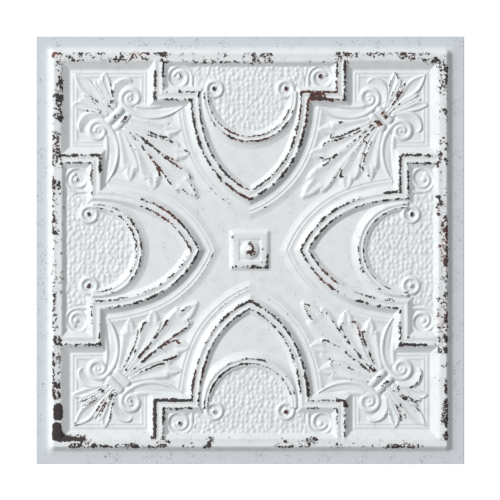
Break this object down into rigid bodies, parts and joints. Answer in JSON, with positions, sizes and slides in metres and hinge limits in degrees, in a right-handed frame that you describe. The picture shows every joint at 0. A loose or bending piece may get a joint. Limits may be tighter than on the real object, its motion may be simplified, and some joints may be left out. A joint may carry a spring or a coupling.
{
  "type": "ceiling tile",
  "caption": "Square embossed lay-in ceiling tile: flat flange, raised frame, pointed arches, crescents, scroll and leaf corners and a centre boss, in chipped white paint.",
  "frame": {"origin": "middle of the tile on the plane of the flange's back, where it lies on a level floor", "axes": "+Z out of the decorated face, X and Y along the tile's sides"},
  "size_m": [0.603, 0.603, 0.0098],
  "materials": {
    "painted_sheet": "satin white paint, chipped to dark rust-edged metal on the raised edges"
  },
  "bodies": {
    "root": {"tile": "painted_sheet"}
  },
  "joints": []
}
